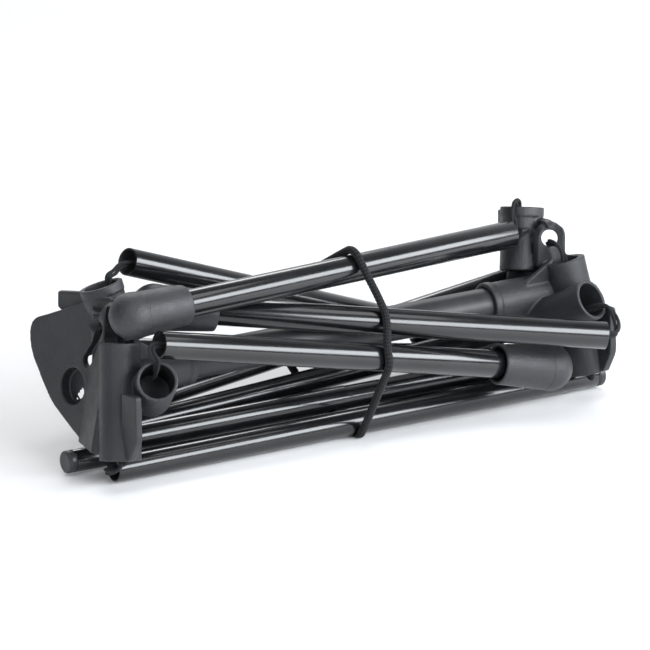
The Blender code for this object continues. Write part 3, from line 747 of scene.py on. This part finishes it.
double_cord(
    "rear_right_link", "rear_right_link_cord",
    [inside("rear_right_lower_pole", POLE_ENDS, 270.0), POLE_ENDS["rear_right_lower_pole"][1],
     (6.6, 44.4, -41.4), (1.6, 38.4, -45.4), (3.4, 33.0, -45.6),
     inside("rear_right_upper_pole", POLE_ENDS, 3.0), inside("rear_right_upper_pole", POLE_ENDS, 12.0)],
    "rear_right_pole",
)


# ---------------------------------------------------------------- elastic loop

LOOP_R = 2.0
LOOP_GAP = 0.9
LOOP_FLAT_R = 0.5
LOOP_VISUAL_R = LOOP_R + 0.3
LOOP_SPACING = 0.5
LOOP_SIDES = 28
LOOP_RELIEF = 0.09
LOOP_PITCH = 4.2
LOOP_ROUND = (
    ("upper_right_leg", 153.0),
    ("front_right_leg", 158.5),
    ("front_left_leg", 150.6),
    ("front_left_pole", 155.0),
    ("front_right_pole", 153.0),
    ("rear_left_lower_pole", 150.0),
    ("upper_left_leg", 150.0),
)


def centre_at(ends, x):
    a, b = Vector(ends[0]), Vector(ends[1])
    here = a.lerp(b, (x - a.x) / (b.x - a.x))
    return Vector((here.y, here.z))


def loop_share(angle):
    off = abs(math.degrees(math.remainder(angle + math.pi / 2, 2 * math.pi)))
    return min(max((off - 18.0) / 42.0, 0.0), 1.0)


def loop_room(angle):
    share = loop_share(angle)
    return LOOP_FLAT_R + (LOOP_R - LOOP_FLAT_R) * share + 0.15 + (LOOP_GAP - 0.15) * share


def loop_points():
    rounds = []
    for name, x in LOOP_ROUND:
        ends = LEG_ENDS.get(name) or POLE_ENDS[name]
        rounds.append((centre_at(ends, x), LEG_R if name in LEG_ENDS else POLE_R[name], x))
    count = len(rounds)
    leave = []
    for index in range(count):
        c1, r1, _ = rounds[index]
        c2, r2, _ = rounds[(index + 1) % count]
        way = c2 - c1
        heading = math.atan2(way.y, way.x)
        leave.append(heading - math.acos((r1 - r2) / way.length))
    points = []
    for index in range(count):
        centre, radius, x = rounds[index]
        first, last = leave[index - 1], leave[index]
        sweep = math.remainder(last - first, 2 * math.pi)
        steps = max(1, round(abs(math.degrees(sweep)) / 10.0))
        for step in range(steps + 1):
            angle = first + sweep * step / steps
            reach = radius + loop_room(angle)
            points.append(Vector((x, centre.x + reach * math.cos(angle), centre.y + reach * math.sin(angle))))
    return points


def flattening(z):
    """How far the loop keeps its height here: less where it is pinched between a pole and the floor."""
    low = min(max((z + 61.9) / 3.2, 0.0), 1.0)
    return 0.27 + 0.73 * low


loop_path = loop_points()
for _ in range(2):
    count = len(loop_path)
    beside = [(loop_path[i - 1] + loop_path[(i + 1) % count]) / 2 for i in range(count)]
    loop_path = [point.lerp(middle, 0.25) for point, middle in zip(loop_path, beside)]
loop_path = even(spline(loop_path, 6, cyclic=True), LOOP_SPACING, cyclic=True)
loop = strand("elastic_loop_cord", loop_path, LOOP_VISUAL_R, LOOP, LOOP_SIDES, cyclic=True,
              relief=LOOP_RELIEF, pitch=LOOP_PITCH)
for index, point in enumerate(loop_path):
    thin = flattening(point.z)
    if thin < 1.0:
        mid = at(point).z
        for vert in loop.data.vertices[index * LOOP_SIDES:(index + 1) * LOOP_SIDES]:
            vert.co.z = mid + (vert.co.z - mid) * thin
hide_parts("elastic_loop")
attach(loop, "elastic_loop")


# ---------------------------------------------------------------- floor and light

FLOOR_SIZE = 12.0
FLOOR_DROP = 0.0002
GREY_TO_WHITE = ((0.45, (0.10, 0.105, 0.115, 1.0)), (0.95, (0.85, 0.86, 0.88, 1.0)))

floor_mesh = bpy.data.meshes.new("Floor")
half = FLOOR_SIZE / 2
corners = [(-half, -half, 0), (half, -half, 0), (half, half, 0), (-half, half, 0)]
floor_mesh.from_pydata(corners, [], [(0, 1, 2, 3)])
floor = bpy.data.objects.new("Floor", floor_mesh)
bpy.context.scene.collection.objects.link(floor)
floor.location.z = -FLOOR_DROP
paper = Nodes("Floor paper")
mottle = paper.noise(paper.coords(), 3.0, 3.0)
tone = paper.ramp(mottle, [(0.3, (0.90, 0.90, 0.90)), (0.7, (0.93, 0.93, 0.93))])
paper.link(tone, paper.shader.inputs["Base Color"])
paper.shader.inputs["Roughness"].default_value = 0.9
paper.shader.inputs["Specular IOR Level"].default_value = 0.1
floor_mesh.materials.append(paper.material)

# Studio surroundings: near white behind the object, falling to dark grey at the camera's side.
world = bpy.data.worlds.new("World")
bpy.context.scene.world = world
world.use_nodes = True
sky = world.node_tree
background = sky.nodes["Background"]
direction = sky.nodes.new("ShaderNodeTexCoord")
facing = sky.nodes.new("ShaderNodeVectorMath")
facing.operation = "DOT_PRODUCT"
facing.inputs[1].default_value = -TO_CAMERA
sky.links.new(direction.outputs["Generated"], facing.inputs[0])
shade = sky.nodes.new("ShaderNodeValToRGB")
for element, (position, tone) in zip(shade.color_ramp.elements, GREY_TO_WHITE):
    element.position = position
    element.color = tone
spread = sky.nodes.new("ShaderNodeMapRange")
spread.inputs["From Min"].default_value = -1.0
spread.inputs["From Max"].default_value = 1.0
sky.links.new(facing.outputs["Value"], spread.inputs["Value"])
sky.links.new(spread.outputs["Result"], shade.inputs["Fac"])
sky.links.new(shade.outputs["Color"], background.inputs["Color"])
background.inputs["Strength"].default_value = 1.0


def softbox(name, place, size, size_y, power, colour):
    light = bpy.data.lights.new(name, "AREA")
    light.shape = "RECTANGLE"
    light.size = size
    light.size_y = size_y
    light.energy = power
    light.color = colour
    made = bpy.data.objects.new(name, light)
    bpy.context.scene.collection.objects.link(made)
    made.location = place
    made.rotation_euler = (Vector(LIT_POINT) - Vector(place)).to_track_quat("-Z", "Y").to_euler()


LIT_POINT = (0.0, 0.0, 0.06)
WHITE = (1.0, 1.0, 1.0)
# Name, place, width, height, power in watts and colour.
SOFTBOXES = (
    ("Key softbox", (0.85, -1.50, 0.80), 2.8, 0.80, 74.0, (0.92, 0.96, 1.0)),
    ("Side softbox", (-1.5, -1.0, 1.0), 0.9, 0.9, 10.0, (0.95, 0.975, 1.0)),
    ("Overhead softbox", (-0.2, -0.7, 2.3), 2.6, 1.2, 22.0, WHITE),
    ("Back softbox", (0.9, 2.6, 2.4), 2.4, 1.0, 46.0, WHITE),
)
for settings in SOFTBOXES:
    softbox(*settings)

bpy.context.scene.view_settings.view_transform = "Standard"
